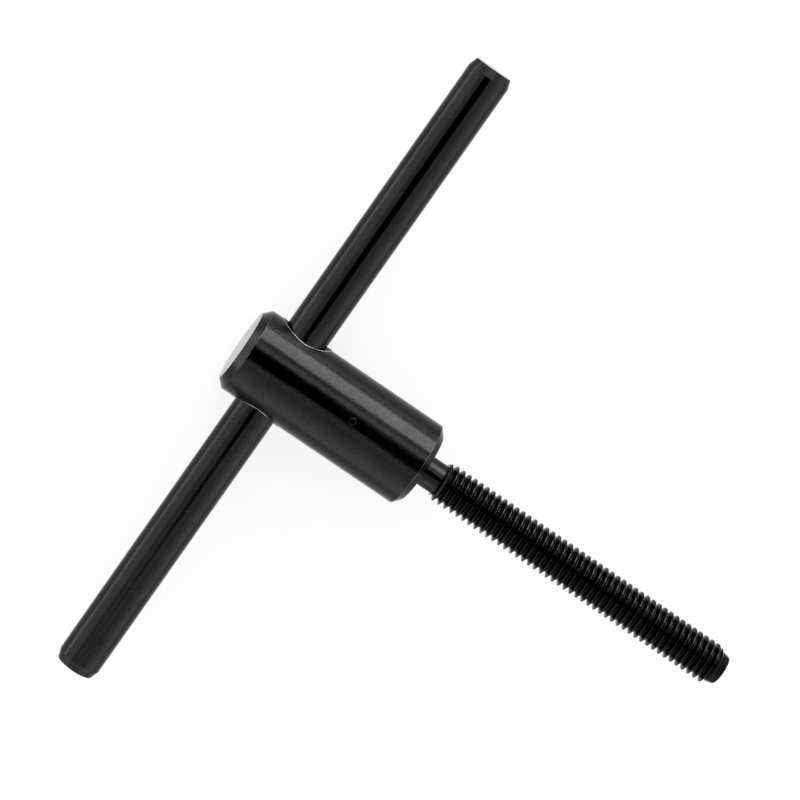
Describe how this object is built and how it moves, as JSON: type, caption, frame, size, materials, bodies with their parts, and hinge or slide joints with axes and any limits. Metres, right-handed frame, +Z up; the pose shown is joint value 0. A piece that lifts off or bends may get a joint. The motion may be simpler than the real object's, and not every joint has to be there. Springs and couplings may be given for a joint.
{
  "type": "t-handle screw",
  "caption": "T-handled forcing screw: a plain cross bar slides through a chamfered round hub that carries a long threaded spindle with a blunt tip.",
  "frame": {"origin": "centre of the underside of the bounding box, with the hub lying on its side on the ground", "axes": "+X along the spindle towards its tip, +Y along the cross bar, +Z up"},
  "size_m": [0.1272, 0.1582, 0.02],
  "materials": {
    "hub_steel": "satin black oxide",
    "bar_steel": "satin black oxide, drawn along its length",
    "spindle_steel": "black oxide, cut thread",
    "pin_steel": "black oxide",
    "ball_steel": "polished",
    "spring_steel": "bright drawn wire"
  },
  "bodies": {
    "hub": {"hub": "hub_steel", "spindle": "spindle_steel", "spindle_pin": "pin_steel", "friction_ball": "ball_steel", "friction_spring": "spring_steel"},
    "cross_bar": {"tommy_bar": "bar_steel"}
  },
  "joints": [
    {"name": "bar_slide", "type": "slide", "parent": "hub", "child": "cross_bar", "axis": [0, 1, 0], "range_m": [-0.067, 0.067]}
  ]
}
